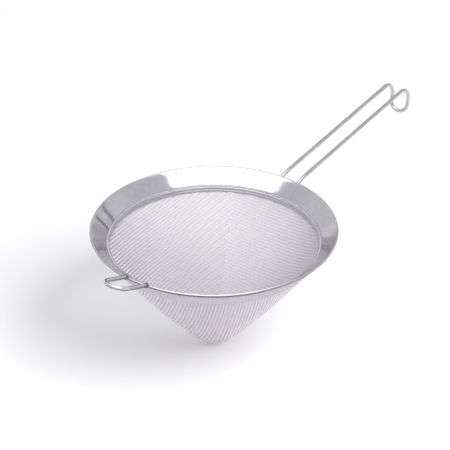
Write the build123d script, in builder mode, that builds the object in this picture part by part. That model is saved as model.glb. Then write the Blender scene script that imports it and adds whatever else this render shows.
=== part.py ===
from build123d import *
import os
from math import atan2, asin, cos, degrees, hypot, radians, sin, sqrt, tan

os.makedirs("parts", exist_ok=True)

# Fine chinois: a cone of woven steel cloth under a flared sheet rim,
# with a long wire handle on +X and a wire rest loop on -X.
# Millimetres. Z is the axis of the cone and points up out of its mouth.
# The origin is on that axis, halfway up the collar that a stand grips.

# Sheet rim
rim_sheet = 0.8
rolled_edge_radius = 1.4
rolled_edge_turn = 280.0
band_drop = 13.2
band_width = 15.7
collar_radius = 104.3
collar_height = 7.2
fold_radius = 1.2

# Woven cloth, a wall as thick as two of its wires
cloth_thickness = 0.9
cloth_hem_height = 6.2
cone_mouth_angle = 54.5
cone_foot_angle = 46.5
tip_radius = 29.0

# Plain grid of openings in place of the cloth's fine weave
grid_count = 10
grid_border = 6.5
grid_bar = 4.6
grid_turn = -20.0

# Clamp ring inside the cloth
clamp_sheet = 0.8
clamp_height = 6.4
clamp_ridges = 2
clamp_ridge_pitch = 3.1
clamp_ridge_depth = 0.7
clamp_ridge_height = 2.3

# Tack welds along the lower edge of the clamp ring
tack_count = 36
tack_angle = 1.2
tack_drop = 1.3
tack_depth = 0.8
weld_gap = 0.02

# Wire of the handle and of the rest loop
wire_radius = 2.0
seat_gap = 0.05

# Handle, with its reaches counted from the rim's edge
rod_spacing = 20.0
leg_end_gap = 4.4
knee_reach = 14.0
knee_drop = 3.46
knee_bend_radius = 60.0
handle_rise = 7.0
hook_reach = 213.5
hook_bend_radius = 14.0
hook_lean = 13.0
hook_drop = 33.8
hook_round_share = 0.97

# Rest loop, with its reach counted from the rim's edge
loop_width = 24.0
loop_reach = 35.0
loop_rise = 20.6
loop_seat_lift = 0.6
loop_seat_gap = 0.35
loop_round_share = 0.97

# Fillet welds
leg_weld_radius = 2.75
loop_weld_radius = 2.6

# Derived places
collar_top = collar_height / 2
collar_foot = -collar_height / 2
rim_top = collar_top + band_drop
collar_bore = collar_radius - rim_sheet
rim_radius = collar_radius + band_width
edge_x = rim_radius - rolled_edge_radius
edge_z = rim_top - rolled_edge_radius
fold_to_edge = hypot(edge_x - collar_bore, edge_z - collar_top)
band_angle = degrees(
    atan2(edge_z - collar_top, edge_x - collar_bore)
    + asin(rolled_edge_radius / fold_to_edge)
)
band_slope = tan(radians(band_angle))


def on_edge(radius, angle):
    """A point of the rolled edge at an angle seen in the XZ plane."""
    turn = radians(angle)
    return (edge_x + radius * cos(turn), edge_z + radius * sin(turn))


# Rim: collar, flared band and rolled edge in one sheet
lip_angle = band_angle + 90
lip_radius = rolled_edge_radius - rim_sheet
under_fold_z = collar_top + rim_sheet * tan(radians((band_angle - 90) / 2))
with BuildPart() as rim_band:
    with BuildSketch(Plane.XZ):
        with BuildLine():
            inside = FilletPolyline(
                (collar_bore, collar_foot),
                (collar_bore, collar_top),
                on_edge(rolled_edge_radius, lip_angle),
                radius=fold_radius + rim_sheet,
            )
            roll = CenterArc((edge_x, edge_z), rolled_edge_radius, lip_angle, -rolled_edge_turn)
            lip = CenterArc((edge_x, edge_z), lip_radius, lip_angle, -rolled_edge_turn)
            Line(roll @ 1, lip @ 1)
            outside = FilletPolyline(
                (collar_radius, collar_foot),
                (collar_radius, under_fold_z),
                lip @ 0,
                radius=fold_radius,
            )
            Line(inside @ 0, outside @ 0)
        make_face()
    revolve(axis=Axis.Z)

# Cloth: hem held in the collar, curved sides and a round tip
mouth_turn = radians(cone_mouth_angle)
foot_turn = radians(cone_foot_angle)
side_bend = cone_mouth_angle - cone_foot_angle
side_run_share = sin(mouth_turn) - sin(foot_turn)
mouth_heading = (-cos(mouth_turn), -sin(mouth_turn))
cloth_bore = collar_bore - cloth_thickness
inner_tip_radius = tip_radius - cloth_thickness
inner_mouth_z = collar_foot + cloth_thickness * (1 / cos(mouth_turn) - tan(mouth_turn))
hem_top = collar_foot + cloth_hem_height
grid_reach = collar_bore - grid_border
grid_pitch = 2 * grid_reach / grid_count
grid_opening = grid_pitch - grid_bar
grid_steps = [(step - (grid_count - 1) / 2) * grid_pitch for step in range(grid_count)]
grid_places = [(x, y) for x in grid_steps for y in grid_steps if hypot(x, y) < grid_reach]


def side_radius(mouth_radius, tip):
    """Radius of the side's arc that ends where the round tip begins."""
    return (mouth_radius - tip * sin(foot_turn)) / side_run_share


with BuildPart() as mesh_cone:
    with BuildSketch(Plane.XZ):
        with BuildLine():
            outer_side = JernArc(
                (collar_bore, collar_foot),
                mouth_heading,
                side_radius(collar_bore, tip_radius),
                -side_bend,
            )
            outer_tip = JernArc(outer_side @ 1, outer_side % 1, tip_radius, -cone_foot_angle)
            inner_side = JernArc(
                (cloth_bore, inner_mouth_z),
                mouth_heading,
                side_radius(cloth_bore, inner_tip_radius),
                -side_bend,
            )
            inner_tip = JernArc(inner_side @ 1, inner_side % 1, inner_tip_radius, -cone_foot_angle)
            Line(outer_tip @ 1, inner_tip @ 1)
            Polyline(
                inner_side @ 0,
                (cloth_bore, hem_top),
                (collar_bore, hem_top),
                outer_side @ 0,
            )
        make_face()
    revolve(axis=Axis.Z)
    with BuildSketch(Plane.XY.offset(collar_foot).rotated((0, 0, grid_turn))):
        with Locations(*grid_places):
            Rectangle(grid_opening, grid_opening)
        Circle(grid_reach, mode=Mode.INTERSECT)
    extrude(amount=-2 * grid_reach, mode=Mode.SUBTRACT)

# Clamp ring: thin ring with two pressed ridges, spread against the cloth
clamp_foot = inner_mouth_z + weld_gap
clamp_middle = clamp_foot + clamp_height / 2
clamp_bore = cloth_bore - clamp_sheet
with BuildPart() as clamp_ring:
    with BuildSketch(Plane.XZ):
        with Locations((cloth_bore - clamp_sheet / 2, clamp_middle)):
            Rectangle(clamp_sheet, clamp_height)
        with Locations((clamp_bore, clamp_middle)):
            with GridLocations(0, clamp_ridge_pitch, 1, clamp_ridges):
                Ellipse(clamp_ridge_depth, clamp_ridge_height / 2)
    revolve(axis=Axis.Z)

# Tack welds in the corner between the clamp ring's foot and the cloth
tack_top = clamp_foot - weld_gap
tack_foot = tack_top - tack_drop
tack_back = cloth_bore - weld_gap
tack_foot_back = tack_back - (inner_mouth_z - tack_foot) / tan(mouth_turn)
with BuildPart() as ring_tack_welds:
    for tack in range(tack_count):
        with BuildSketch(Plane.XZ.rotated((0, 0, tack * 360 / tack_count))):
            with BuildLine():
                Polyline(
                    (tack_back - tack_depth, tack_top),
                    (tack_back, tack_top),
                    (tack_foot_back, tack_foot),
                    (tack_foot_back - tack_depth / 2, tack_foot),
                    close=True,
                )
            make_face()
        revolve(axis=Axis.Z, revolution_arc=tack_angle)

# Handle: one wire, two legs under the band, two rods and a hook turned down
band_tilt = radians(band_angle)
rod_y = rod_spacing / 2
leg_end_radius = collar_radius + leg_end_gap
leg_x = sqrt(leg_end_radius**2 - rod_y**2)
band_top_z = collar_top + (leg_end_radius - collar_bore) * band_slope
leg_z = band_top_z - (rim_sheet + wire_radius + seat_gap) / cos(band_tilt)
knee_x = rim_radius + knee_reach
knee_z = rim_top - knee_drop
hook_x = rim_radius + hook_reach
hook_z = knee_z + (hook_x - knee_x) * tan(radians(handle_rise))
hook_foot_x = hook_x - hook_drop * sin(radians(hook_lean))
hook_foot_z = hook_z - hook_drop * cos(radians(hook_lean))
side_points = [
    (leg_x, leg_z),
    (knee_x, knee_z),
    (hook_x, hook_z),
    (hook_foot_x, hook_foot_z),
]
side_bends = [knee_bend_radius, hook_bend_radius, rod_y * hook_round_share]
with BuildPart() as handle_wire:
    with BuildLine() as handle_path:
        FilletPolyline(
            *[(x, rod_y, z) for x, z in side_points],
            *[(x, -rod_y, z) for x, z in reversed(side_points)],
            radius=side_bends + side_bends[::-1],
        )
    with BuildSketch(Plane(handle_path.line @ 0, z_dir=handle_path.line % 0)):
        Circle(wire_radius)
    sweep()

# Rest loop: one wire, both ends butted to the outside of the rolled edge
loop_tilt = radians(loop_rise)
loop_y = loop_width / 2
seat_reach = rolled_edge_radius + loop_seat_gap
loop_seat_radius = edge_x + seat_reach * cos(loop_tilt) - loop_seat_lift * sin(loop_tilt)
loop_seat_z = edge_z + seat_reach * sin(loop_tilt) + loop_seat_lift * cos(loop_tilt)
loop_seat_x = sqrt(loop_seat_radius**2 - loop_y**2)
loop_end_x = rim_radius + loop_reach
loop_end_z = loop_seat_z + (loop_end_x - loop_seat_x) * tan(loop_tilt)
with BuildPart() as rest_loop:
    with BuildLine() as loop_path:
        FilletPolyline(
            (-loop_seat_x, loop_y, loop_seat_z),
            (-loop_end_x, loop_y, loop_end_z),
            (-loop_end_x, -loop_y, loop_end_z),
            (-loop_seat_x, -loop_y, loop_seat_z),
            radius=loop_y * loop_round_share,
        )
    with BuildSketch(Plane(loop_path.line @ 0, z_dir=loop_path.line % 0)):
        Circle(wire_radius)
    sweep()

# Fillet welds where the wires meet the rim
with BuildPart() as handle_welds:
    with Locations((leg_x, rod_y, leg_z), (leg_x, -rod_y, leg_z)):
        Sphere(leg_weld_radius)
    add(handle_wire.part, mode=Mode.SUBTRACT)
    add(rim_band.part, mode=Mode.SUBTRACT)

with BuildPart() as loop_welds:
    with Locations(
        (-loop_seat_x, loop_y, loop_seat_z),
        (-loop_seat_x, -loop_y, loop_seat_z),
    ):
        Sphere(loop_weld_radius)
    with Locations((0, 0, edge_z)):
        Cylinder(edge_x, 2 * rim_top, mode=Mode.SUBTRACT)
        Torus(edge_x, rolled_edge_radius + weld_gap, mode=Mode.SUBTRACT)
    add(rest_loop.part, mode=Mode.SUBTRACT)

pieces = {
    "rim_band": rim_band,
    "mesh_cone": mesh_cone,
    "clamp_ring": clamp_ring,
    "ring_tack_welds": ring_tack_welds,
    "handle_wire": handle_wire,
    "rest_loop": rest_loop,
    "handle_welds": handle_welds,
    "loop_welds": loop_welds,
}
for name, piece in pieces.items():
    piece.part.label = name
    export_step(piece.part, f"parts/{name}.step")
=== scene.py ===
import math

import bpy
import numpy as np
from bpy.props import FloatProperty, FloatVectorProperty, IntProperty, PointerProperty
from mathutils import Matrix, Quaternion, Vector


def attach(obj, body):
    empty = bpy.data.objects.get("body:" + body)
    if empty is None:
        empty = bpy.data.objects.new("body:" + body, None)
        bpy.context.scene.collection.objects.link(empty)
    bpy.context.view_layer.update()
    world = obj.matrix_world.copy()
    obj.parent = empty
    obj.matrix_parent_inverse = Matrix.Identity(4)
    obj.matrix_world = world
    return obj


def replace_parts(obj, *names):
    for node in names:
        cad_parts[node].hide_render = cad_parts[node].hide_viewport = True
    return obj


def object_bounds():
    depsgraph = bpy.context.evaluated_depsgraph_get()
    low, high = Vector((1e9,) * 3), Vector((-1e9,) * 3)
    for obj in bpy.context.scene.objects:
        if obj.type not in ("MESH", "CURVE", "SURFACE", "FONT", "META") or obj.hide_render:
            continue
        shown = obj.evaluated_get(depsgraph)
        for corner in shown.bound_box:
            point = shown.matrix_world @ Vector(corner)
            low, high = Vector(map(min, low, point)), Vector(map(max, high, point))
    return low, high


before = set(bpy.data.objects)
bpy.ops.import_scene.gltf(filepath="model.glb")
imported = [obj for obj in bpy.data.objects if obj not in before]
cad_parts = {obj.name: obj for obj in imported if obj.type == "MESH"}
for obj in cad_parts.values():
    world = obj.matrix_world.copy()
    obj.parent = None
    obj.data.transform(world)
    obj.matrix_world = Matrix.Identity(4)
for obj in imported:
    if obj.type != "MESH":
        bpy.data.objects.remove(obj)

bl_info = {
    "name": "Fine Chinois",
    "version": (1, 0, 0),
    "blender": (4, 5, 0),
    "location": "3D View > Sidebar > Chinois",
    "description": "Dresses a conical wire cloth strainer with a sheet rim and a bent wire handle",
    "category": "Object",
}

CAD_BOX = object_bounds()
MM = 0.001
CENTIMETRE = 0.01
SAME_POINT = MM / 1000

# Sheet rim
RIM_SHEET = 0.8 * MM
ROLL_RADIUS = 1.4 * MM
ROLL_TURN = math.radians(280)
ROLL_STEPS = 28
BAND_DROP = 13.2 * MM
BAND_WIDTH = 15.7 * MM
BAND_STEPS = 5
COLLAR_RADIUS = 104.3 * MM
COLLAR_HEIGHT = 7.2 * MM
FOLD_RADIUS = 1.2 * MM
FOLD_STEP = 0.2 * MM
RIM_SMOOTH = math.radians(40)
RIM_RADIUS = COLLAR_RADIUS + BAND_WIDTH
COLLAR_TOP = COLLAR_HEIGHT / 2
COLLAR_FOOT = -COLLAR_HEIGHT / 2
RIM_TOP = COLLAR_TOP + BAND_DROP
COLLAR_BORE = COLLAR_RADIUS - RIM_SHEET
EDGE_X = RIM_RADIUS - ROLL_RADIUS
EDGE_Z = RIM_TOP - ROLL_RADIUS
FOLD_TO_EDGE = math.hypot(EDGE_X - COLLAR_BORE, EDGE_Z - COLLAR_TOP)
BAND_ANGLE = math.atan2(EDGE_Z - COLLAR_TOP, EDGE_X - COLLAR_BORE) + math.asin(ROLL_RADIUS / FOLD_TO_EDGE)

# The sheet's back is where a face looks further out than this and no further up than
# this. Painted shade darkens its groove from this far inside the rolled edge towards it.
BACK_LEAST_OUTWARD = 0.3
BACK_MOST_UPWARD = 0.15
GROOVE_REACH = 2.6 * MM

# Woven cloth, a twill whose wires pass over two and under two
CLOTH_THICKNESS = 0.9 * MM
MOUTH_ANGLE = math.radians(54.5)
FOOT_ANGLE = math.radians(46.5)
TIP_RADIUS = 29.0 * MM
CLOTH_BORE = COLLAR_BORE - CLOTH_THICKNESS
MOUTH_LIFT = CLOTH_THICKNESS * (1 / math.cos(MOUTH_ANGLE) - math.tan(MOUTH_ANGLE))
TWILL_REPEAT = 4
TWILL_OVER = 2
LEAST_POINTS = 3
CLOTH_METALLIC = 0.4
LARGEST_PIECE = 190000
# Faces round a wire, four so that its ends close with faces of four corners too
CLOTH_FACES = 4

# The seam's place round the axis, and the flat sheet's own angles of the seam and of the weave
SEAM_TURN = math.radians(26)
SHEET_START = math.radians(53.3)
WEAVE_TURN = math.radians(144)
SEAM_MARGIN = 0.04
SEAM_FOOT = 2 * MM
SEAM_BEAD = 0.4 * MM
SEAM_POINTS = 60
SEAM_SIDES = 8

# Hem: the cloth's wires end at its foot, and a folded strip fills the slot above them
HEM_FOOT = COLLAR_FOOT + 5.6 * MM
HEM_ROUND = 0.2 * MM
HEM_SEGMENTS = 144

# Clamp ring
CLAMP_SHEET = 0.8 * MM
CLAMP_HEIGHT = 6.4 * MM
CLAMP_PITCH = 3.1 * MM
CLAMP_DEPTH = 0.7 * MM
CLAMP_RIDGE = 2.3 * MM
CLAMP_GAP = 0.02 * MM
RIDGE_STEPS = 12
CLAMP_SMOOTH = math.radians(35)

# Wire of the handle and of the rest loop
WIRE_RADIUS = 2.0 * MM
WIRE_SMOOTH = math.radians(50)
ROUND_SHARE = 0.97
LEAST_BEND_STEPS = 4

# Handle, with its reaches counted from the rim's edge
ROD_Y = 10.0 * MM
LEG_END_GAP = 4.4 * MM
LEG_SEAT_GAP = 0.05 * MM
KNEE_REACH = 14.0 * MM
KNEE_DROP = 3.46 * MM
KNEE_BEND = 60.0 * MM
HANDLE_RISE = math.radians(7)
HOOK_REACH = 213.5 * MM
HOOK_BEND = 14.0 * MM
HOOK_LEAN = math.radians(13)
HOOK_DROP = 33.8 * MM
HANDLE_STEP = 0.7 * MM

# Rest loop, with its reach counted from the rim's edge
LOOP_Y = 12.0 * MM
LOOP_REACH = 35.0 * MM
LOOP_RISE = math.radians(20.6)
LOOP_SEAT_GAP = 0.35 * MM
LOOP_SEAT_LIFT = 0.6 * MM
LOOP_STEP = 0.5 * MM

# Handling marks: how much finer the small ones are, the share of the contrast where a
# mark starts, and where it is full
FINE_MARKS = 7.0
MARK_START_SHARE = 0.3
MARK_FULL = 0.42

# Camera, set on the rim's own ellipse
CAMERA_TURN = math.radians(-53)
CAMERA_HEIGHT = math.radians(31.3)
CAMERA_DISTANCE = 2.0
CAMERA_LENS = 166.16
CAMERA_SENSOR = 36
CAMERA_NEAR = 0.05
CAMERA_FAR = 40
CAMERA_AIM = (10.6 * MM, 2.1 * MM)

# Tones of the surroundings by the sine of their height
WORLD_TONES = (
    (0.0, (0.53, 0.53, 0.54, 1)),
    (0.12, (0.60, 0.595, 0.61, 1)),
    (0.48, (0.68, 0.675, 0.69, 1)),
    (0.70, (0.58, 0.58, 0.64, 1)),
    (1.0, (0.62, 0.62, 0.64, 1)),
)

# Floor, and the share of its paper's tone that the polished steel mirrors
FLOOR_SIZE = 12.0
MIRRORED_SHARE = 0.5

# Main lamp, to the camera's right, away from it and up
KEY_PLACE = (2.5, -1.9, 3.45)
KEY_SIZE = 2.8

# Softbox, with its corners to the camera's right and away from it for each metre of its height
SOFTBOX_RISE = 1.9
SOFTBOX_FROM = (-0.82, -1.0)
SOFTBOX_TO = (0.545, 0.45)

# Cards that only the polished steel mirrors: name, heading, width, lowest and highest
# place, and brightness. The places are in degrees as seen from the strainer, and the
# heading counts from the camera's right.
CARD_DISTANCE = 1.2
CARD_COLOUR = (0.98, 0.96, 1.0, 1)
CARDS = (
    ("dark_cloth", 92.5, 32.0, -6.0, 25.0, 0.05),
    ("grey_card", 60.5, 15.0, -6.0, 13.0, 0.54),
    ("stand_near", 53.5, 1.9, -6.0, 20.0, 0.12),
    ("stand_far", 43.5, 1.9, -6.0, 30.0, 0.08),
    ("pale_card", 121.5, 17.0, -6.0, 13.0, 0.82),
)


def deselect_all():
    """Leaves object mode and selects nothing."""
    if bpy.context.object and bpy.context.object.mode != "OBJECT":
        bpy.ops.object.mode_set(mode="OBJECT")
    bpy.ops.object.select_all(action="DESELECT")


def only(piece):
    """Selects one object and makes it active."""
    deselect_all()
    piece.select_set(True)
    bpy.context.view_layer.objects.active = piece


def finished(piece):
    """Puts a piece's place into its mesh and lets it ride on the body."""
    only(piece)
    bpy.ops.object.transform_apply(location=True, rotation=True, scale=True)
    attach(piece, "root")
    deselect_all()
    return piece


def arc(centre, radius, start, turn, steps):
    """Points of an arc in the plane of a profile, its first point included."""
    turns = [start + turn * i / steps for i in range(steps + 1)]
    return [(centre[0] + radius * math.cos(here), centre[1] + radius * math.sin(here)) for here in turns]


def cleaned():
    """Merges the points of a mesh that lie on each other and turns its faces outwards, in edit mode."""
    bpy.ops.mesh.select_all(action="SELECT")
    bpy.ops.mesh.remove_doubles(threshold=SAME_POINT)
    bpy.ops.mesh.normals_make_consistent(inside=False)


def spun(name, profile, steps, closed):
    """A profile of (radius, height) points extruded vertex by vertex and spun round the axis."""
    deselect_all()
    bpy.ops.mesh.primitive_plane_add(size=MM, location=(0, 0, 0))
    piece = bpy.context.object
    piece.name = name
    piece.data.name = name
    bpy.ops.object.mode_set(mode="EDIT")
    bpy.ops.mesh.select_mode(type="VERT")
    bpy.ops.mesh.select_all(action="SELECT")
    bpy.ops.mesh.merge(type="CENTER")
    line = [Vector((r, 0, z)) for r, z in profile]
    if closed:
        line.append(line[0].copy())
    bpy.ops.transform.translate(value=line[0])
    for before, after in zip(line, line[1:]):
        bpy.ops.mesh.extrude_vertices_move(TRANSFORM_OT_translate={"value": after - before})
    bpy.ops.mesh.select_all(action="SELECT")
    bpy.ops.mesh.remove_doubles(threshold=SAME_POINT)
    bpy.ops.mesh.spin(steps=steps, angle=2 * math.pi, center=(0, 0, 0), axis=(0, 0, 1))
    cleaned()
    bpy.ops.object.mode_set(mode="OBJECT")
    return piece


def rounded(corners, radii, step):
    """A line through corners, each rounded with its own radius."""
    line = [corners[0]]
    for before, corner, after, radius in zip(corners, corners[1:], corners[2:], radii):
        back, ahead = (before - corner).normalized(), (after - corner).normalized()
        half = back.angle(ahead) / 2
        centre = corner + (back + ahead).normalized() * radius / math.sin(half)
        start = corner + back * radius / math.tan(half)
        end = corner + ahead * radius / math.tan(half)
        turn = math.pi - 2 * half
        count = max(LEAST_BEND_STEPS, round(radius * turn / step))
        first, last = (start - centre) / radius, (end - centre) / radius
        for i in range(count + 1):
            share = i / count
            between = first * math.sin(turn * (1 - share)) + last * math.sin(turn * share)
            line.append(centre + radius * between / math.sin(turn))
    line.append(corners[-1])
    return line


def bent_wire(name, line, radius, sides):
    """A round wire along a line, as a mesh with its ends closed."""
    deselect_all()
    curve = bpy.data.curves.new(name, "CURVE")
    curve.dimensions = "3D"
    curve.bevel_depth = radius
    curve.bevel_resolution = sides // 4 - 1
    curve.use_fill_caps = True
    spline = curve.splines.new("POLY")
    spline.points.add(len(line) - 1)
    spline.points.foreach_set("co", [c for p in line for c in (*p, 1)])
    piece = bpy.data.objects.new(name, curve)
    bpy.context.scene.collection.objects.link(piece)
    only(piece)
    bpy.ops.object.convert(target="MESH")
    piece = bpy.context.object
    bpy.ops.object.mode_set(mode="EDIT")
    cleaned()
    bpy.ops.object.mode_set(mode="OBJECT")
    bpy.ops.object.shade_smooth_by_angle(angle=WIRE_SMOOTH)
    return piece


# Materials


def new_group(name, inputs, outputs):
    """A shader group with named sockets, (name, type, default) in and (name, type) out, and its two ends."""
    tree = bpy.data.node_groups.new(name, "ShaderNodeTree")
    for label, kind, default in inputs:
        made = tree.interface.new_socket(label, in_out="INPUT", socket_type=kind)
        if default is not None:
            made.default_value = default
    for label, kind in outputs:
        tree.interface.new_socket(label, in_out="OUTPUT", socket_type=kind)
    return tree, tree.nodes.new("NodeGroupInput").outputs, tree.nodes.new("NodeGroupOutput").inputs


def node(tree, kind, links=None, **values):
    """A node with its properties set and its inputs linked or filled by name or number."""
    made = tree.nodes.new(kind)
    for key, value in values.items():
        setattr(made, key, value)
    for socket, value in (links or {}).items():
        if isinstance(value, bpy.types.NodeSocket):
            tree.links.new(value, made.inputs[socket])
        else:
            made.inputs[socket].default_value = value
    return made


def maths(tree, operation, first, second):
    """One Math node's output."""
    return node(tree, "ShaderNodeMath", {0: first, 1: second}, operation=operation).outputs[0]


def noise(tree, links, **values):
    """One Noise Texture node's output."""
    return node(tree, "ShaderNodeTexNoise", links, **values).outputs[0]


def mask(tree, value, start, end):
    """0 where a value hasn't passed its start and 1 where it has passed its end."""
    return node(tree, "ShaderNodeMapRange", {0: value, 1: start, 2: end, 3: 0.0, 4: 1.0}).outputs[0]


def spread(tree, share, low, high):
    """A mask of 0 to 1 laid over a range of values."""
    return node(tree, "ShaderNodeMapRange", {0: share, 1: 0.0, 2: 1.0, 3: low, 4: high}).outputs[0]


def two_tones(tree, share, *tones):
    """A colour between two by a mask. Each of the two is a socket or three numbers."""
    first, second = (tone if isinstance(tone, bpy.types.NodeSocket) else (*tone, 1) for tone in tones)
    return node(tree, "ShaderNodeMix", {0: share, 6: first, 7: second}, data_type="RGBA").outputs[2]


def axis_place(tree, place):
    """A place's distance from the axis and its height."""
    parts = node(tree, "ShaderNodeSeparateXYZ", {0: place}).outputs
    flat = node(tree, "ShaderNodeCombineXYZ", {0: parts[0], 1: parts[1]}).outputs[0]
    return node(tree, "ShaderNodeVectorMath", {0: flat}, operation="LENGTH").outputs["Value"], parts[2]


def spun_polish_group():
    """Fine rings that a polishing wheel leaves on sheet that turns under it. Wander is in centimetres."""
    tree, inside, out = new_group(
        "Spun Polish",
        [
            ("Vector", "NodeSocketVector", None),
            ("Rings", "NodeSocketFloat", 1500.0),
            ("Wander", "NodeSocketFloat", 0.2),
        ],
        [("Lines", "NodeSocketFloat"), ("Height", "NodeSocketFloat")],
    )
    across = maths(tree, "ADD", *axis_place(tree, inside["Vector"]))
    wander = noise(tree, {"Vector": inside["Vector"], "Scale": 9.0, "Detail": 1.0})
    drift = maths(tree, "MULTIPLY", wander, maths(tree, "MULTIPLY", inside["Wander"], CENTIMETRE))
    place = maths(tree, "MULTIPLY", maths(tree, "ADD", across, drift), inside["Rings"])
    lines = noise(tree, {"W": place, "Scale": 1.0, "Detail": 4.0, "Roughness": 0.6}, noise_dimensions="1D")
    tree.links.new(mask(tree, lines, start=0.35, end=0.7), out["Lines"])
    tree.links.new(lines, out["Height"])
    return tree


def handling_group():
    """Soft patches of wiping marks and water spots, as a mask."""
    tree, inside, out = new_group(
        "Handling Marks",
        [
            ("Vector", "NodeSocketVector", None),
            ("Size", "NodeSocketFloat", 22.0),
            ("Contrast", "NodeSocketFloat", 0.5),
        ],
        [("Mask", "NodeSocketFloat")],
    )
    place, size = inside["Vector"], inside["Size"]
    large = noise(tree, {"Vector": place, "Scale": size, "Detail": 3.0, "Distortion": 0.6})
    fine = maths(tree, "MULTIPLY", size, FINE_MARKS)
    small = noise(tree, {"Vector": place, "Scale": fine, "Detail": 5.0})
    start = maths(tree, "MULTIPLY", inside["Contrast"], MARK_START_SHARE)
    tree.links.new(mask(tree, maths(tree, "MULTIPLY", large, small), start, MARK_FULL), out["Mask"])
    return tree


def drawn_wire_group():
    """Long fine lines that the drawing die leaves along a wire."""
    tree, inside, out = new_group(
        "Drawn Wire",
        [
            ("Vector", "NodeSocketVector", None),
            ("Along", "NodeSocketVector", (0.02, 1.0, 1.0)),
            ("Scale", "NodeSocketFloat", 3000.0),
        ],
        [("Lines", "NodeSocketFloat")],
    )
    long = node(tree, "ShaderNodeVectorMath", {0: inside["Vector"], 1: inside["Along"]}, operation="MULTIPLY")
    lines = {"Vector": long.outputs[0], "Scale": inside["Scale"], "Detail": 3.0, "Roughness": 0.55}
    tree.links.new(noise(tree, lines), out["Lines"])
    return tree


def heat_tint_group():
    """Straw and brown colours that heat leaves on steel, by a mask."""
    tree, inside, out = new_group(
        "Heat Tint",
        [
            ("Vector", "NodeSocketVector", None),
            ("Clean", "NodeSocketColor", (0.5, 0.5, 0.5, 1)),
            ("Burnt", "NodeSocketColor", (0.2, 0.15, 0.1, 1)),
            ("Scale", "NodeSocketFloat", 400.0),
        ],
        [("Color", "NodeSocketColor"), ("Height", "NodeSocketFloat")],
    )
    place, scale = inside["Vector"], inside["Scale"]
    spots = noise(tree, {"Vector": place, "Scale": scale, "Detail": 4.0, "Distortion": 1.0})
    share = mask(tree, spots, start=0.35, end=0.65)
    tree.links.new(two_tones(tree, share, inside["Clean"], inside["Burnt"]), out["Color"])
    tree.links.new(spots, out["Height"])
    return tree


GROUPS = {
    "Spun Polish": spun_polish_group,
    "Handling Marks": handling_group,
    "Drawn Wire": drawn_wire_group,
    "Heat Tint": heat_tint_group,
}


def grouped(tree, name, links):
    """The outputs of a shared group placed in a material with that material's own values."""
    shared = bpy.data.node_groups.get(name) or GROUPS[name]()
    return node(tree, "ShaderNodeGroup", links, node_tree=shared).outputs


def handled(tree, place, size, contrast):
    """The mask of a material's handling marks."""
    return grouped(tree, "Handling Marks", {"Vector": place, "Size": size, "Contrast": contrast})["Mask"]


def new_steel(name, metallic=1.0):
    """A new material: (material, tree, shader's inputs, object coordinates, object normals)."""
    made = bpy.data.materials.new(name)
    made.use_nodes = True
    shader = made.node_tree.nodes["Principled BSDF"].inputs
    shader["Metallic"].default_value = metallic
    where = made.node_tree.nodes.new("ShaderNodeTexCoord").outputs
    return made, made.node_tree, shader, where["Object"], where["Normal"]


def coated(tree, shader, colour, roughness):
    """Feeds a colour and a roughness into the shader."""
    tree.links.new(colour, shader["Base Color"])
    tree.links.new(roughness, shader["Roughness"])


def bumped(tree, shader, height, distance, strength):
    """Feeds a height into the shader's normal."""
    made = node(tree, "ShaderNodeBump", {"Strength": strength, "Distance": distance, "Height": height})
    tree.links.new(made.outputs[0], shader["Normal"])


def sheet_steel(name, colour, dull, smooth, worn, rings):
    """Polished sheet: rings of the wheel in its gloss, wiping marks in its colour."""
    made, tree, shader, place, _ = new_steel(name)
    polish = grouped(tree, "Spun Polish", {"Vector": place, "Rings": rings, "Wander": 0.2})
    marks = handled(tree, place, size=24.0, contrast=0.45)
    gloss = maths(tree, "MULTIPLY", maths(tree, "ADD", polish["Lines"], marks), 0.5)
    coated(tree, shader, two_tones(tree, marks, colour, dull), spread(tree, gloss, smooth, worn))
    bumped(tree, shader, polish["Height"], distance=0.004 * MM, strength=0.12)
    return made


def underside_steel(name, colour, groove_shade, smooth, worn):
    """The sheet's back, rougher than its face, in a darker colour that is partly its duller finish and partly
    painted shade, with painted shade in the groove beside the rolled edge.
    """
    made, tree, shader, place, _ = new_steel(name)
    marks = handled(tree, place, size=24.0, contrast=0.45)
    radius, _ = axis_place(tree, place)
    # painted shade: the groove grows darker towards the rolled edge
    groove = mask(tree, radius, EDGE_X - GROOVE_REACH, EDGE_X - ROLL_RADIUS)
    coated(tree, shader, two_tones(tree, groove, colour, groove_shade), spread(tree, marks, smooth, worn))
    return made


def wire_steel(name, colour, dull, smooth, worn, along, under=None):
    """Drawn and tumbled wire: long lines in its gloss, and painted shade on its lower side in the colour
    given for it, if one is given.
    """
    made, tree, shader, place, facing = new_steel(name)
    lines = grouped(tree, "Drawn Wire", {"Vector": place, "Along": along, "Scale": 2600.0})["Lines"]
    tone = two_tones(tree, handled(tree, place, size=45.0, contrast=0.4), colour, dull)
    if under is not None:
        # Faces that look down take the under colour: painted shade on the wire's lower side
        upward = node(tree, "ShaderNodeSeparateXYZ", {0: facing}).outputs[2]
        tone = two_tones(tree, mask(tree, upward, start=0.25, end=-0.15), tone, under)
    coated(tree, shader, tone, spread(tree, lines, smooth, worn))
    bumped(tree, shader, lines, distance=0.01 * MM, strength=0.2)
    return made


def outward_mask(tree, place, facing):
    """1 on faces that look away from the axis and 0 on faces that look towards it."""
    flat = node(tree, "ShaderNodeVectorMath", {0: place, 1: (1, 1, 0)}, operation="MULTIPLY").outputs[0]
    radial = node(tree, "ShaderNodeVectorMath", {0: flat}, operation="NORMALIZE").outputs[0]
    outward = node(tree, "ShaderNodeVectorMath", {0: radial, 1: facing}, operation="DOT_PRODUCT")
    return mask(tree, outward.outputs["Value"], start=-0.1, end=0.3)


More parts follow.
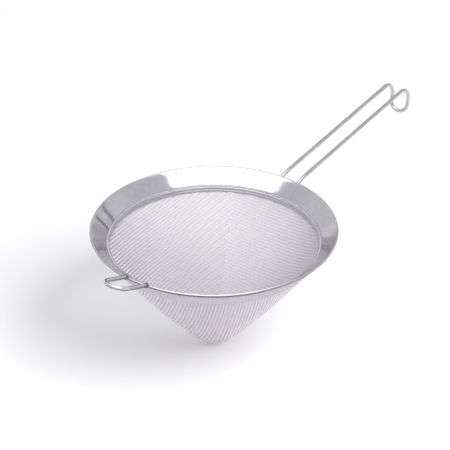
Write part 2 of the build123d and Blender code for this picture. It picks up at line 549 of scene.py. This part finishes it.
def cloth_steel(name, colour, dull, smooth, worn, outside=None):
    """Fine wire, duller in patches, with another colour outside the cone if one is given for it."""
    made, tree, shader, place, facing = new_steel(name, CLOTH_METALLIC)
    grain = noise(tree, {"Vector": place, "Scale": 900.0, "Detail": 2.0})
    both = maths(tree, "ADD", handled(tree, place, size=18.0, contrast=0.4), grain)
    tone = two_tones(tree, maths(tree, "MULTIPLY", both, 0.5), colour, dull)
    # Faces that look away from the axis take the outer colour: the weft is painted lighter on its outer side
    # than on its side towards the axis
    if outside is not None:
        tone = two_tones(tree, outward_mask(tree, place, facing), tone, outside)
    coated(tree, shader, tone, spread(tree, grain, smooth, worn))
    return made


def weld_steel(name, clean, burnt, smooth, worn):
    """Dull rippled weld metal with heat colours."""
    made, tree, shader, place, _ = new_steel(name)
    colours = {"Clean": (*clean, 1), "Burnt": (*burnt, 1)}
    tint = grouped(tree, "Heat Tint", {"Vector": place, **colours, "Scale": 420.0})
    coated(tree, shader, tint["Color"], spread(tree, tint["Height"], smooth, worn))
    bumped(tree, shader, tint["Height"], distance=0.25 * MM, strength=0.5)
    return made


def dress(piece, *materials):
    """Gives a piece its materials."""
    piece.data.materials.clear()
    for material in materials:
        piece.data.materials.append(material)


# Sizes and colours that a user would change


class ChinoisCloth(bpy.types.PropertyGroup):
    pitch: FloatProperty(
        name="Pitch",
        description="Distance from wire to wire in the flat sheet",
        default=1.13 * MM,
        min=0.5 * MM,
        unit="LENGTH",
        precision=5,
    )
    wire: FloatProperty(
        name="Wire",
        description="Diameter of the cloth's wires",
        default=0.45 * MM,
        unit="LENGTH",
        precision=5,
    )
    colour: FloatVectorProperty(
        name="Warp colour",
        description="Colour of the cloth's warp",
        default=(0.98, 0.93, 0.98),
        subtype="COLOR",
        min=0,
        max=1,
    )
    # The weft's dark tone inside the cone, against the pale warp, is painted light and shade that brings out
    # the twill's ribs; outside the cone the weft is painted lighter
    weft_colour: FloatVectorProperty(
        name="Weft colour",
        description="Colour of the cloth's weft inside the cone",
        default=(0.33, 0.30, 0.335),
        subtype="COLOR",
        min=0,
        max=1,
    )
    outside_colour: FloatVectorProperty(
        name="Outer weft colour",
        description="Colour of the weft on the outside of the cone",
        default=(0.74, 0.70, 0.745),
        subtype="COLOR",
        min=0,
        max=1,
    )


class ChinoisRim(bpy.types.PropertyGroup):
    segments: IntProperty(
        name="Segments",
        description="Steps of the rim round the axis",
        default=288,
        min=48,
    )
    colour: FloatVectorProperty(
        name="Colour",
        description="Colour of the polished sheet",
        default=(0.645, 0.64, 0.665),
        subtype="COLOR",
        min=0,
        max=1,
    )
    dull: FloatVectorProperty(
        name="Dull colour",
        description="Colour of the sheet under wiping marks",
        default=(0.58, 0.575, 0.605),
        subtype="COLOR",
        min=0,
        max=1,
    )
    # The back's colour: darker than the face, partly a duller finish and partly painted shade
    under: FloatVectorProperty(
        name="Under colour",
        description="Colour of the sheet's duller back",
        default=(0.57, 0.55, 0.58),
        subtype="COLOR",
        min=0,
        max=1,
    )
    # Painted shade in the groove beside the rolled edge
    groove_shade: FloatVectorProperty(
        name="Shadow colour",
        description="Colour of the groove beside the rolled edge",
        default=(0.13, 0.13, 0.14),
        subtype="COLOR",
        min=0,
        max=1,
    )
    gloss: FloatProperty(
        name="Roughness",
        description="Roughness of the polished sheet",
        default=0.05,
        min=0,
        max=1,
        subtype="FACTOR",
    )


class ChinoisWires(bpy.types.PropertyGroup):
    sides: IntProperty(
        name="Sides",
        description="Faces round the wire of the handle and of the loop",
        default=20,
        min=8,
    )
    colour: FloatVectorProperty(
        name="Colour",
        description="Colour of the handle's wire",
        default=(0.64, 0.64, 0.65),
        subtype="COLOR",
        min=0,
        max=1,
    )
    dull: FloatVectorProperty(
        name="Dull colour",
        description="Colour of the wire where it is handled",
        default=(0.52, 0.52, 0.53),
        subtype="COLOR",
        min=0,
        max=1,
    )


class ChinoisStage(bpy.types.PropertyGroup):
    floor: FloatVectorProperty(
        name="Floor",
        description="Colour of the floor as it lights the strainer",
        default=(0.66, 0.66, 0.66),
        subtype="COLOR",
        min=0,
        max=1,
    )
    paper: FloatVectorProperty(
        name="Paper",
        description="Colour of the floor as the camera sees it",
        default=(0.82, 0.82, 0.82),
        subtype="COLOR",
        min=0,
        max=1,
    )
    lift: FloatProperty(
        name="Lift",
        description="Light that the floor adds for the camera and for reflections",
        default=0.02,
        min=0,
    )
    key: FloatProperty(
        name="Key",
        description="Power of the main lamp",
        default=208.0,
        min=0,
        unit="POWER",
    )
    softbox: FloatProperty(
        name="Softbox",
        description="Brightness of the softbox overhead, as the polished steel shows it",
        default=1.5,
        min=0,
    )
    surroundings: FloatProperty(
        name="Surroundings",
        description="Strength of the light from all round",
        default=1.15,
        min=0,
    )


# Pieces


def roll_line():
    """Middle line of the rim's sheet from the collar's foot to the end of its rolled edge."""
    middle = COLLAR_RADIUS - RIM_SHEET / 2
    lip = BAND_ANGLE + math.pi / 2
    middle_roll = ROLL_RADIUS - RIM_SHEET / 2
    lip_point = Vector((EDGE_X + middle_roll * math.cos(lip), EDGE_Z + middle_roll * math.sin(lip), 0))
    slope = Vector((math.cos(BAND_ANGLE), math.sin(BAND_ANGLE), 0))
    corner = lip_point - slope * (lip_point.x - middle) / slope.x
    corners = [Vector((middle, COLLAR_FOOT, 0)), corner, lip_point]
    line = [(p.x, p.y) for p in rounded(corners, [FOLD_RADIUS + RIM_SHEET / 2], FOLD_STEP)[:-1]]
    x, y = line[-1]
    for i in range(1, BAND_STEPS):
        line.append((x + (lip_point.x - x) * i / BAND_STEPS, y + (lip_point.y - y) * i / BAND_STEPS))
    return line + arc((EDGE_X, EDGE_Z), middle_roll, lip, -ROLL_TURN, ROLL_STEPS)


class CHINOIS_OT_rim(bpy.types.Operator):
    """Makes the polished sheet rim: collar, flared band and rolled edge"""

    bl_idname = "chinois.rim"
    bl_label = "Sheet Rim"

    def execute(self, context):
        sizes = context.scene.chinois_rim
        rim = spun("polished_rim", roll_line(), sizes.segments, closed=False)
        thick = rim.modifiers.new("Sheet", "SOLIDIFY")
        thick.thickness = RIM_SHEET
        thick.offset = 0
        thick.use_even_offset = True
        only(rim)
        bpy.ops.object.modifier_apply(modifier=thick.name)
        bpy.ops.object.shade_smooth_by_angle(angle=RIM_SMOOTH)
        dress(
            rim,
            sheet_steel("Polished sheet", sizes.colour, sizes.dull, sizes.gloss, worn=0.16, rings=2600.0),
            underside_steel("Sheet underside", sizes.under, sizes.groove_shade, smooth=0.25, worn=0.4),
        )
        # Faces of the back get the darker second material: partly a duller finish, partly painted shade
        for face in rim.data.polygons:
            outward = face.normal.xy.dot(face.center.xy.normalized())
            face.material_index = int(outward > BACK_LEAST_OUTWARD and face.normal.z < BACK_MOST_UPWARD)
        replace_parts(finished(rim), "rim_band")
        return {"FINISHED"}


class CHINOIS_OT_clamp(bpy.types.Operator):
    """Makes the clamp ring with its two pressed ridges"""

    bl_idname = "chinois.clamp"
    bl_label = "Clamp Ring"

    def execute(self, context):
        sizes = context.scene.chinois_rim
        foot = COLLAR_FOOT + MOUTH_LIFT + CLAMP_GAP
        middle = foot + CLAMP_HEIGHT / 2
        bore = CLOTH_BORE - CLAMP_SHEET
        outline = [(CLOTH_BORE, foot), (CLOTH_BORE, foot + CLAMP_HEIGHT), (bore, foot + CLAMP_HEIGHT)]
        for side in (1, -1):
            centre = middle + side * CLAMP_PITCH / 2
            for i in range(RIDGE_STEPS + 1):
                turn = math.pi * i / RIDGE_STEPS
                depth, rise = CLAMP_DEPTH * math.sin(turn), CLAMP_RIDGE / 2 * math.cos(turn)
                outline.append((bore - depth, centre + rise))
        outline.append((bore, foot))
        ring = spun("ridged_clamp_ring", outline, sizes.segments, closed=True)
        bpy.ops.object.shade_smooth_by_angle(angle=CLAMP_SMOOTH)
        dress(ring, sheet_steel("Clamp sheet", sizes.colour, sizes.dull, smooth=0.14, worn=0.3, rings=2200.0))
        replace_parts(finished(ring), "clamp_ring")
        return {"FINISHED"}


def cloth_shape():
    """The cloth's middle surface: bends of side and tip, and radius where they meet and at the mouth."""
    side = (COLLAR_BORE - TIP_RADIUS * math.sin(FOOT_ANGLE)) / (math.sin(MOUTH_ANGLE) - math.sin(FOOT_ANGLE))
    side, tip = side - CLOTH_THICKNESS / 2, TIP_RADIUS - CLOTH_THICKNESS / 2
    meet = tip * math.sin(FOOT_ANGLE)
    return side, tip, meet, meet + side * (math.sin(MOUTH_ANGLE) - math.sin(FOOT_ANGLE))


def cloth_length():
    """Length of the cloth's middle line from the tip to the mouth."""
    side, tip, _, _ = cloth_shape()
    return tip * FOOT_ANGLE + side * (MOUTH_ANGLE - FOOT_ANGLE)


def cloth_place(length):
    """(radius, height, slope) on the cloth's middle line at a length from its tip, as arrays."""
    side, tip, meet, _ = cloth_shape()
    top = COLLAR_FOOT + CLOTH_THICKNESS / 2 * math.cos(MOUTH_ANGLE)
    meet_height = top - side * (math.cos(FOOT_ANGLE) - math.cos(MOUTH_ANGLE))
    on_tip = length < tip * FOOT_ANGLE
    slope = np.where(on_tip, length / tip, FOOT_ANGLE + (length - tip * FOOT_ANGLE) / side)
    radius = np.where(on_tip, tip * np.sin(slope), meet + side * (np.sin(slope) - math.sin(FOOT_ANGLE)))
    rise = np.where(on_tip, tip, side) * (math.cos(FOOT_ANGLE) - np.cos(slope))
    return radius, meet_height + rise, slope


def sheet_turn(across, along):
    """Angles of places in the flat sheet, counted from the seam."""
    return (np.arctan2(along, across) + WEAVE_TURN - SHEET_START) % (2 * math.pi)


def rolled_wire(across, along, wave, hems):
    """A flat wire rolled into the cone: (points, normals). hems says which of its ends reach the hem."""
    whole, (_, _, _, mouth) = cloth_length(), cloth_shape()
    turn = SEAM_TURN + sheet_turn(across, along) * whole / mouth
    radius, height, slope = cloth_place(np.hypot(across, along))
    normals = np.stack([-np.sin(slope) * np.cos(turn), -np.sin(slope) * np.sin(turn), np.cos(slope)], 1)
    points = np.stack([radius * np.cos(turn), radius * np.sin(turn), height], 1) + normals * wave[:, None]
    levels = (COLLAR_FOOT + CLOTH_THICKNESS, HEM_FOOT)
    for end, hemmed in zip((0, -1), hems):
        if hemmed:
            flat = np.array([math.cos(turn[end]), math.sin(turn[end])])
            up = np.array([[*(flat * (mouth + wave[end] / 2)), level] for level in levels])
            inward = np.array([[-flat[0], -flat[1], 0.0]] * len(levels))
            points = np.concatenate([up[::-1], points] if end == 0 else [points, up])
            normals = np.concatenate([inward, normals] if end == 0 else [normals, inward])
    return points, normals


def crossings(fixed, span, warp):
    """Where a wire's line in the flat sheet meets the two edges of the seam."""
    edges = [math.tan(SHEET_START - WEAVE_TURN + turn) for turn in (0, span)]
    return [fixed * edge if warp else fixed / edge for edge in edges]


def cut_end(line, lift, place, beyond, cuts):
    """Brings a wire's end, at place 0 or -1, up to the seam that lies between it and the place beyond it."""
    for cut in [cut for cut in cuts if (cut - line[place]) * (cut - beyond) < 0]:
        at = 0 if place == 0 else len(line)
        line.insert(at, cut + (line[place] - cut) * SEAM_MARGIN)
        lift.insert(at, lift[place])


def sheet_wires(pitch, amplitude, warp):
    """Every wire of one family in the flat sheet, cut at the mouth and at the seam, and rolled."""
    whole, (_, _, _, mouth) = cloth_length(), cloth_shape()
    span = 2 * math.pi * mouth / whole
    count = int(whole / pitch) + 2
    numbers = np.arange(-count, count)
    wires = []
    for number in numbers:
        fixed = (number + 0.5) * pitch
        if abs(fixed) > whole - pitch:
            continue
        end = math.sqrt(whole**2 - fixed**2)
        step = number - numbers if warp else numbers - number
        over = np.where(step % TWILL_REPEAT < TWILL_OVER, amplitude, -amplitude) * (1 if warp else -1)
        moving = (numbers + 0.5) * pitch
        inside = np.abs(moving) < end - pitch / 4
        moving = np.concatenate([[-end], moving[inside], [end]])
        over = over[inside]
        over = np.concatenate([over[:1], over, over[-1:]])
        still = np.full_like(moving, fixed)
        kept = sheet_turn(*((still, moving) if warp else (moving, still))) < span
        edges = np.flatnonzero(np.diff(np.concatenate([[0], kept, [0]])))
        for first, after in edges.reshape(-1, 2):
            if after - first < LEAST_POINTS:
                continue
            hems = (first == 0, after == len(kept))
            line, lift = list(moving[first:after]), list(over[first:after])
            cuts = crossings(fixed, span, warp)
            if not hems[0]:
                cut_end(line, lift, 0, moving[first - 1], cuts)
            if not hems[1]:
                cut_end(line, lift, -1, moving[after], cuts)
            line, still = np.array(line), np.full(len(line), fixed)
            wires.append(rolled_wire(*((still, line) if warp else (line, still)), np.array(lift), hems))
    return wires


def cloth_piece(name, wires, radius):
    """Wires as one smooth mesh, with a strip of its UV map for each wire."""
    corners, faces, places, base = [], [], [], 0
    turns = np.arange(CLOTH_FACES) * 2 * math.pi / CLOTH_FACES + math.pi / CLOTH_FACES
    for row, (line, normals) in enumerate(wires):
        ahead = np.gradient(line, axis=0)
        ahead /= np.linalg.norm(ahead, axis=1)[:, None]
        side = np.cross(ahead, normals)
        side /= np.linalg.norm(side, axis=1)[:, None]
        other = np.cross(ahead, side)
        rings = [line + radius * (side * math.cos(turn) + other * math.sin(turn)) for turn in turns]
        corners.append(np.stack(rings, 1).reshape(-1, 3))
        count = len(line)
        step, around = np.meshgrid(np.arange(count - 1), np.arange(CLOTH_FACES), indexing="ij")
        after = (around + 1) % CLOTH_FACES
        near = base + CLOTH_FACES * step
        far = near + CLOTH_FACES
        faces.append(np.stack([near + around, near + after, far + after, far + around], 2).reshape(-1, 4))
        u = np.stack([step, step, step + 1, step + 1], 2) / (count - 1)
        strip = (np.stack([around, around + 1, around + 1, around], 2) + 0.5) / (CLOTH_FACES + 1)
        places.append(np.stack([u, (row + strip) / len(wires)], 3).reshape(-1, 2))
        last = base + CLOTH_FACES * (count - 1)
        faces.append(np.array([base + np.arange(CLOTH_FACES)[::-1], last + np.arange(CLOTH_FACES)]))
        ends = [[end, row / len(wires)] for end in (0, 1) for _ in range(CLOTH_FACES)]
        places.append(np.array(ends, dtype=float))
        base = last + CLOTH_FACES
    mesh = bpy.data.meshes.new(name)
    mesh.from_pydata(np.concatenate(corners).tolist(), [], np.concatenate(faces).tolist())
    mesh.uv_layers.new(name="OFBake").data.foreach_set("uv", np.concatenate(places).ravel())
    mesh.update()
    piece = bpy.data.objects.new(name, mesh)
    bpy.context.scene.collection.objects.link(piece)
    only(piece)
    bpy.ops.object.shade_smooth()
    return piece


def hem_outline():
    """Section of the hem's folded strip between the collar and the clamp ring."""
    top = COLLAR_FOOT + CLAMP_HEIGHT + MOUTH_LIFT
    inner, outer = CLOTH_BORE + CLAMP_GAP, COLLAR_BORE - CLAMP_GAP
    return [
        (inner, HEM_FOOT),
        (inner, top - HEM_ROUND),
        (CLOTH_BORE + HEM_ROUND, top),
        (COLLAR_BORE - HEM_ROUND, top),
        (outer, top - HEM_ROUND),
        (outer, HEM_FOOT),
    ]


def seam_line():
    """The seam's line from the tip to the mouth."""
    radius, height, _ = cloth_place(np.linspace(SEAM_FOOT, cloth_length(), SEAM_POINTS))
    over, along = math.cos(SEAM_TURN), math.sin(SEAM_TURN)
    return [Vector((r * over, r * along, z)) for r, z in zip(radius.tolist(), height.tolist())]


class CHINOIS_OT_cloth(bpy.types.Operator):
    """Weaves a flat sheet of twilled cloth, rolls it into the cone and folds its edge into the collar"""

    bl_idname = "chinois.cloth"
    bl_label = "Woven Cloth"

    def execute(self, context):
        sizes = context.scene.chinois_cloth
        families = (
            ("warp", sizes.colour, sizes.colour),
            ("weft", sizes.weft_colour, sizes.outside_colour),
        )
        for family, colour, outside in families:
            dull = [0.8 * c for c in colour]
            material = cloth_steel(f"Woven {family}", colour, dull, smooth=0.45, worn=0.6, outside=outside)
            wires = sheet_wires(sizes.pitch, sizes.wire / 2, family == "warp")
            ends = np.cumsum([2 * CLOTH_FACES * len(line) for line, _ in wires])
            shares = math.ceil(ends[-1] / LARGEST_PIECE)
            cuts = [0, *np.searchsorted(ends, ends[-1] * np.arange(1, shares) / shares), len(wires)]
            for share in range(shares):
                group = wires[cuts[share] : cuts[share + 1]]
                piece = cloth_piece(f"cloth_{family}_{share + 1}", group, sizes.wire / 2)
                dress(piece, material)
                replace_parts(finished(piece), "mesh_cone")
        hem = spun("cloth_hem", hem_outline(), HEM_SEGMENTS, closed=True)
        bpy.ops.object.shade_smooth_by_angle(angle=WIRE_SMOOTH)
        dress(hem, cloth_steel("Hem", sizes.colour, sizes.weft_colour, smooth=0.45, worn=0.6))
        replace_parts(finished(hem), "mesh_cone")
        seam = bent_wire("cloth_seam", seam_line(), SEAM_BEAD, SEAM_SIDES)
        dull = [0.85 * c for c in sizes.colour]
        dress(seam, cloth_steel("Seam", sizes.colour, dull, smooth=0.35, worn=0.5))
        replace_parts(finished(seam), "mesh_cone")
        return {"FINISHED"}


class CHINOIS_OT_handle(bpy.types.Operator):
    """Bends the handle from one wire: legs, knee, rods and turned-down hook"""

    bl_idname = "chinois.handle"
    bl_label = "Wire Handle"

    def execute(self, context):
        sizes = context.scene.chinois_wires
        leg_radius = COLLAR_RADIUS + LEG_END_GAP
        leg_x = math.sqrt(leg_radius**2 - ROD_Y**2)
        band_top = COLLAR_TOP + (leg_radius - COLLAR_BORE) * math.tan(BAND_ANGLE)
        leg_z = band_top - (RIM_SHEET + WIRE_RADIUS + LEG_SEAT_GAP) / math.cos(BAND_ANGLE)
        knee_x = RIM_RADIUS + KNEE_REACH
        knee_z = RIM_TOP - KNEE_DROP
        hook_x = RIM_RADIUS + HOOK_REACH
        hook_z = knee_z + (hook_x - knee_x) * math.tan(HANDLE_RISE)
        side = [
            (leg_x, leg_z),
            (knee_x, knee_z),
            (hook_x, hook_z),
            (hook_x - HOOK_DROP * math.sin(HOOK_LEAN), hook_z - HOOK_DROP * math.cos(HOOK_LEAN)),
        ]
        corners = [Vector((x, ROD_Y, z)) for x, z in side]
        corners += [Vector((x, -ROD_Y, z)) for x, z in reversed(side)]
        bends = [KNEE_BEND, HOOK_BEND, ROD_Y * ROUND_SHARE]
        line = rounded(corners, bends + bends[::-1], HANDLE_STEP)
        handle = bent_wire("bent_handle", line, WIRE_RADIUS, sizes.sides)
        along = (0.02, 1.0, 1.0)
        dress(handle, wire_steel("Handle wire", sizes.colour, sizes.dull, smooth=0.1, worn=0.26, along=along))
        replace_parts(finished(handle), "handle_wire")
        return {"FINISHED"}


class CHINOIS_OT_loop(bpy.types.Operator):
    """Bends the rest loop from one wire"""

    bl_idname = "chinois.loop"
    bl_label = "Rest Loop"

    def execute(self, context):
        sizes = context.scene.chinois_wires
        reach = ROLL_RADIUS + LOOP_SEAT_GAP
        seat_radius = EDGE_X + reach * math.cos(LOOP_RISE) - LOOP_SEAT_LIFT * math.sin(LOOP_RISE)
        seat_z = EDGE_Z + reach * math.sin(LOOP_RISE) + LOOP_SEAT_LIFT * math.cos(LOOP_RISE)
        seat_x = math.sqrt(seat_radius**2 - LOOP_Y**2)
        end_x = RIM_RADIUS + LOOP_REACH
        end_z = seat_z + (end_x - seat_x) * math.tan(LOOP_RISE)
        corners = [
            Vector((-seat_x, LOOP_Y, seat_z)),
            Vector((-end_x, LOOP_Y, end_z)),
            Vector((-end_x, -LOOP_Y, end_z)),
            Vector((-seat_x, -LOOP_Y, seat_z)),
        ]
        line = rounded(corners, [LOOP_Y * ROUND_SHARE] * 2, LOOP_STEP)
        loop = bent_wire("bent_rest_loop", line, WIRE_RADIUS, sizes.sides)
        # The loop's lower side is painted near black as shade
        tones = {"colour": (0.78, 0.78, 0.79), "dull": sizes.colour, "under": (0.16, 0.16, 0.17)}
        dress(loop, wire_steel("Loop wire", **tones, smooth=0.08, worn=0.2, along=(0.05, 1.0, 1.0)))
        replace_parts(finished(loop), "rest_loop")
        return {"FINISHED"}


class CHINOIS_OT_welds(bpy.types.Operator):
    """Gives the weld metal its dull, heat-coloured finish, with the fillet welds darkened by painted shade"""

    bl_idname = "chinois.welds"
    bl_label = "Welds"

    def execute(self, context):
        # The fillet welds' heat tint is real; their near-black tones are painted shade at the joints
        fillet = weld_steel(
            "Fillet weld", clean=(0.26, 0.25, 0.25), burnt=(0.08, 0.07, 0.07), smooth=0.3, worn=0.55
        )
        tack = weld_steel(
            "Tack weld", clean=(0.80, 0.77, 0.79), burnt=(0.60, 0.57, 0.58), smooth=0.4, worn=0.7
        )
        for name, material in (("handle_welds", fillet), ("loop_welds", fillet), ("ring_tack_welds", tack)):
            dress(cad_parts[name], material)
        return {"FINISHED"}


# Stage


def photo_axes():
    """The camera's right, away, forward and up directions."""
    right = Vector((math.cos(CAMERA_TURN), math.sin(CAMERA_TURN), 0))
    away = Vector((-math.sin(CAMERA_TURN), math.cos(CAMERA_TURN), 0))
    high = Vector((0, 0, 1))
    ahead = away * math.cos(CAMERA_HEIGHT) - high * math.sin(CAMERA_HEIGHT)
    up = away * math.sin(CAMERA_HEIGHT) + high * math.cos(CAMERA_HEIGHT)
    return right, away, ahead, up


def stage_place(rightward, backward, height):
    """A place given to the camera's right, away from it and up."""
    right, away, _, _ = photo_axes()
    return right * rightward + away * backward + Vector((0, 0, height))


def studio_world(strength):
    """Pale surroundings, a little darker towards the horizon."""
    world = bpy.data.worlds.new("Studio")
    world.use_nodes = True
    bpy.context.scene.world = world
    tree = world.node_tree
    tree.nodes.clear()
    where = tree.nodes.new("ShaderNodeTexCoord").outputs["Generated"]
    height = node(tree, "ShaderNodeSeparateXYZ", {0: where}).outputs[2]
    tones = node(tree, "ShaderNodeValToRGB", {0: height})
    ramp = tones.color_ramp
    ramp.elements[0].position, ramp.elements[0].color = WORLD_TONES[0]
    ramp.elements[1].position, ramp.elements[1].color = WORLD_TONES[-1]
    for place, colour in WORLD_TONES[1:-1]:
        ramp.elements.new(place).color = colour
    light = node(tree, "ShaderNodeBackground", {0: tones.outputs[0], 1: strength})
    node(tree, "ShaderNodeOutputWorld", {0: light.outputs[0]})


def area_lamp(name, place, turn, size, power):
    """A soft lamp, as wide and deep as its size, turned from looking straight down."""
    deselect_all()
    bpy.ops.object.light_add(type="AREA", location=place)
    lamp = bpy.context.object
    lamp.name = name
    lamp.data.shape = "RECTANGLE"
    lamp.data.size, lamp.data.size_y = size
    lamp.data.energy = power
    lamp.rotation_mode = "QUATERNION"
    lamp.rotation_quaternion = turn
    return lamp


def stage_material(name):
    """A material with nothing but its output: (material, tree, output's inputs)."""
    made = bpy.data.materials.new(name)
    made.use_nodes = True
    made.node_tree.nodes.clear()
    return made, made.node_tree, node(made.node_tree, "ShaderNodeOutputMaterial").inputs


def floor_paper(sizes):
    """Paper that the camera and the polished steel see paler than it lights the strainer."""
    made, tree, out = stage_material("Pale floor")
    path = tree.nodes.new("ShaderNodeLightPath").outputs
    mirrored = maths(tree, "MULTIPLY", path["Is Glossy Ray"], MIRRORED_SHARE)
    seen = maths(tree, "MAXIMUM", path["Is Camera Ray"], mirrored)
    seen = maths(tree, "MAXIMUM", seen, path["Is Transmission Ray"])
    plain = node(tree, "ShaderNodeBsdfDiffuse", {0: two_tones(tree, seen, sizes.floor, sizes.paper)})
    lift = maths(tree, "MULTIPLY", seen, sizes.lift)
    glow = node(tree, "ShaderNodeEmission", {0: (1, 1, 1, 1), 1: lift})
    both = node(tree, "ShaderNodeAddShader", {0: plain.outputs[0], 1: glow.outputs[0]})
    tree.links.new(both.outputs[0], out[0])
    return made


def mirrored_card(name, heading, width, foot, top, tone):
    """An upright card round the strainer that only reflections show, placed in radians."""
    right, away, _, _ = photo_axes()
    foot, top = CARD_DISTANCE * math.tan(foot), CARD_DISTANCE * math.tan(top)
    spot = (right * math.cos(heading) + away * math.sin(heading)) * CARD_DISTANCE
    deselect_all()
    bpy.ops.mesh.primitive_plane_add(size=1.0, location=(spot.x, spot.y, (foot + top) / 2))
    card = bpy.context.object
    card.name = name
    card.scale = (2 * CARD_DISTANCE * math.tan(width / 2), top - foot, 1)
    card.rotation_euler = (math.pi / 2, 0, CAMERA_TURN + heading - math.pi / 2)
    card.visible_camera = card.visible_diffuse = card.visible_shadow = card.visible_transmission = False
    shade, tree, out = stage_material(name)
    glow = node(tree, "ShaderNodeEmission", {0: CARD_COLOUR, 1: tone})
    tree.links.new(glow.outputs[0], out[0])
    dress(card, shade)


class CHINOIS_OT_stage(bpy.types.Operator):
    """Sets the floor, the lamps, the surroundings and the camera"""

    bl_idname = "chinois.stage"
    bl_label = "Stage"

    def execute(self, context):
        sizes = context.scene.chinois_stage
        right, _, ahead, up = photo_axes()
        foot = Vector((0, 0, CAD_BOX[0].z))
        deselect_all()
        bpy.ops.mesh.primitive_plane_add(size=FLOOR_SIZE, location=foot)
        floor = bpy.context.object
        floor.name = "floor"
        dress(floor, floor_paper(sizes))
        studio_world(sizes.surroundings)
        place = stage_place(*KEY_PLACE)
        turn = (foot - place).to_track_quat("-Z", "Y")
        key = area_lamp("key_lamp", place, turn, (KEY_SIZE, KEY_SIZE), sizes.key)
        key.visible_glossy = False
        near, far = Vector(SOFTBOX_FROM) * SOFTBOX_RISE, Vector(SOFTBOX_TO) * SOFTBOX_RISE
        middle, wide, deep = (near + far) / 2, far.x - near.x, far.y - near.y
        place = stage_place(middle.x, middle.y, SOFTBOX_RISE)
        turn = Quaternion((0, 0, 1), CAMERA_TURN)
        power = sizes.softbox * math.pi * wide * deep
        softbox = area_lamp("overhead_softbox", place, turn, (wide, deep), power)
        softbox.visible_diffuse = False
        for name, *angles, tone in CARDS:
            mirrored_card(name, *(math.radians(angle) for angle in angles), tone)
        deselect_all()
        aim = right * CAMERA_AIM[0] + up * CAMERA_AIM[1] + Vector((0, 0, RIM_TOP))
        bpy.ops.object.camera_add(location=aim - ahead * CAMERA_DISTANCE)
        camera = bpy.context.object
        camera.rotation_mode = "QUATERNION"
        camera.rotation_quaternion = ahead.to_track_quat("-Z", "Y")
        camera.data.lens = CAMERA_LENS
        camera.data.sensor_width = CAMERA_SENSOR
        camera.data.clip_start = CAMERA_NEAR
        camera.data.clip_end = CAMERA_FAR
        context.scene.camera = camera
        context.scene.view_settings.view_transform = "Standard"
        return {"FINISHED"}


class CHINOIS_PT_panel(bpy.types.Panel):
    """Sizes, colours and pieces of the strainer"""

    bl_idname = "CHINOIS_PT_panel"
    bl_label = "Chinois"
    bl_space_type = "VIEW_3D"
    bl_region_type = "UI"
    bl_category = "Chinois"

    def draw(self, context):
        column = self.layout.column()
        for title, settings, names, operators in PANEL_ROWS:
            column.label(text=title)
            for name in names:
                column.prop(getattr(context.scene, settings), name)
            for name in operators:
                column.operator(name)


PANEL_ROWS = (
    (
        "Sheet rim",
        "chinois_rim",
        ("segments", "colour", "dull", "under", "groove_shade", "gloss"),
        ("chinois.rim", "chinois.clamp"),
    ),
    (
        "Cloth",
        "chinois_cloth",
        ("pitch", "wire", "colour", "weft_colour", "outside_colour"),
        ("chinois.cloth",),
    ),
    (
        "Wires",
        "chinois_wires",
        ("sides", "colour", "dull"),
        ("chinois.handle", "chinois.loop", "chinois.welds"),
    ),
    (
        "Stage",
        "chinois_stage",
        ("floor", "paper", "lift", "key", "softbox", "surroundings"),
        ("chinois.stage",),
    ),
)
SETTINGS = (
    ("chinois_rim", ChinoisRim),
    ("chinois_cloth", ChinoisCloth),
    ("chinois_wires", ChinoisWires),
    ("chinois_stage", ChinoisStage),
)
OPERATORS = (
    CHINOIS_OT_rim,
    CHINOIS_OT_clamp,
    CHINOIS_OT_cloth,
    CHINOIS_OT_handle,
    CHINOIS_OT_loop,
    CHINOIS_OT_welds,
    CHINOIS_OT_stage,
)


def register():
    for name, settings in SETTINGS:
        bpy.utils.register_class(settings)
        setattr(bpy.types.Scene, name, PointerProperty(type=settings))
    for operator in OPERATORS:
        bpy.utils.register_class(operator)
    bpy.utils.register_class(CHINOIS_PT_panel)


def unregister():
    bpy.utils.unregister_class(CHINOIS_PT_panel)
    for operator in reversed(OPERATORS):
        bpy.utils.unregister_class(operator)
    for name, settings in reversed(SETTINGS):
        delattr(bpy.types.Scene, name)
        bpy.utils.unregister_class(settings)


def main():
    register()
    bpy.ops.chinois.rim()
    bpy.ops.chinois.clamp()
    bpy.ops.chinois.cloth()
    bpy.ops.chinois.handle()
    bpy.ops.chinois.loop()
    bpy.ops.chinois.welds()
    bpy.ops.chinois.stage()


if __name__ == "__main__":
    main()
